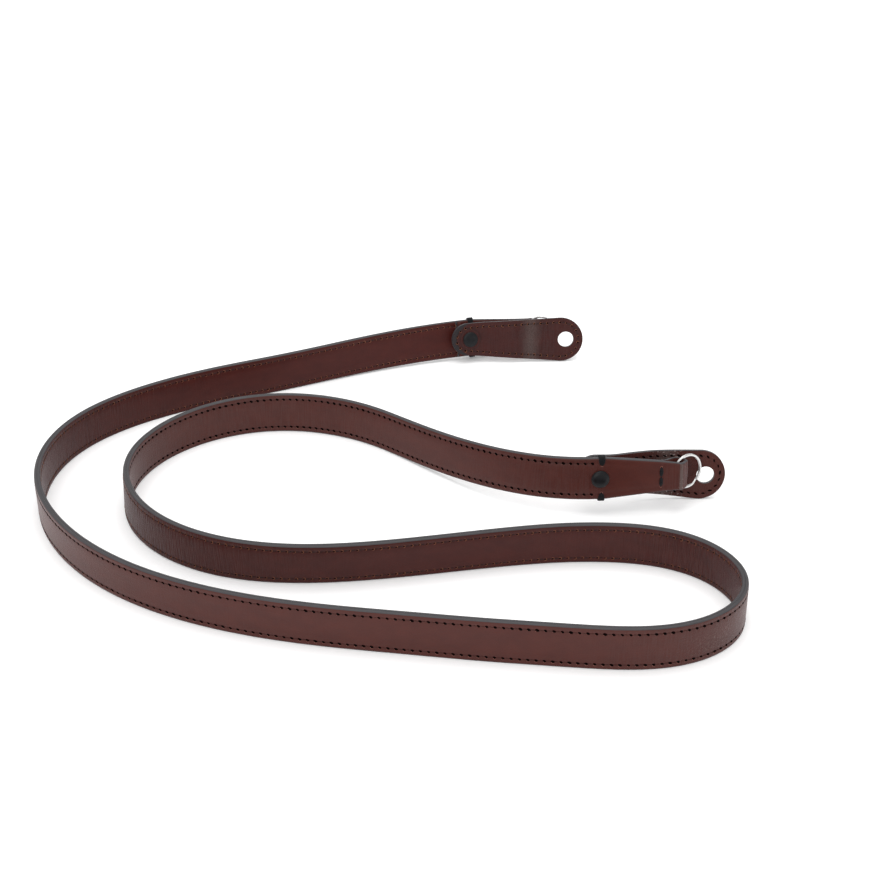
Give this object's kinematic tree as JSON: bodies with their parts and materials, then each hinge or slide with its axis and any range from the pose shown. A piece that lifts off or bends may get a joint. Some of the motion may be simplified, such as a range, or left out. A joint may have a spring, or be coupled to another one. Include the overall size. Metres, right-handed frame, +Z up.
{
  "type": "camera neck strap",
  "caption": "Leather neck strap of two sewn leathers, with a split ring in a folded tab and a snapped-on lug pad at each end, lying on its edge in a double loop.",
  "frame": {"origin": "middle of the footprint, on the surface that the strap lies on", "axes": "+Z up from the surface, +X along the longest side of the footprint, towards both of the strap's ends, +Y towards the far end"},
  "size_m": [0.3024, 0.276, 0.0265],
  "materials": {
    "leather_front": "smooth red-brown vegetable-tanned leather with a soft sheen",
    "leather_back": "the same leather, a little darker",
    "ring_steel": "polished steel",
    "snap_black": "satin black"
  },
  "bodies": {
    "root": {"front_leather": "leather_front", "back_leather": "leather_back", "lug_pad_near": "leather_back", "lug_pad_far": "leather_back", "split_ring_near": "ring_steel", "split_ring_far": "ring_steel", "snap_cap_near": "snap_black", "snap_cap_far": "snap_black", "snap_socket_near": "snap_black", "snap_socket_far": "snap_black", "snap_stud_near": "snap_black", "snap_stud_far": "snap_black", "snap_back_near": "snap_black", "snap_back_far": "snap_black"}
  },
  "joints": []
}
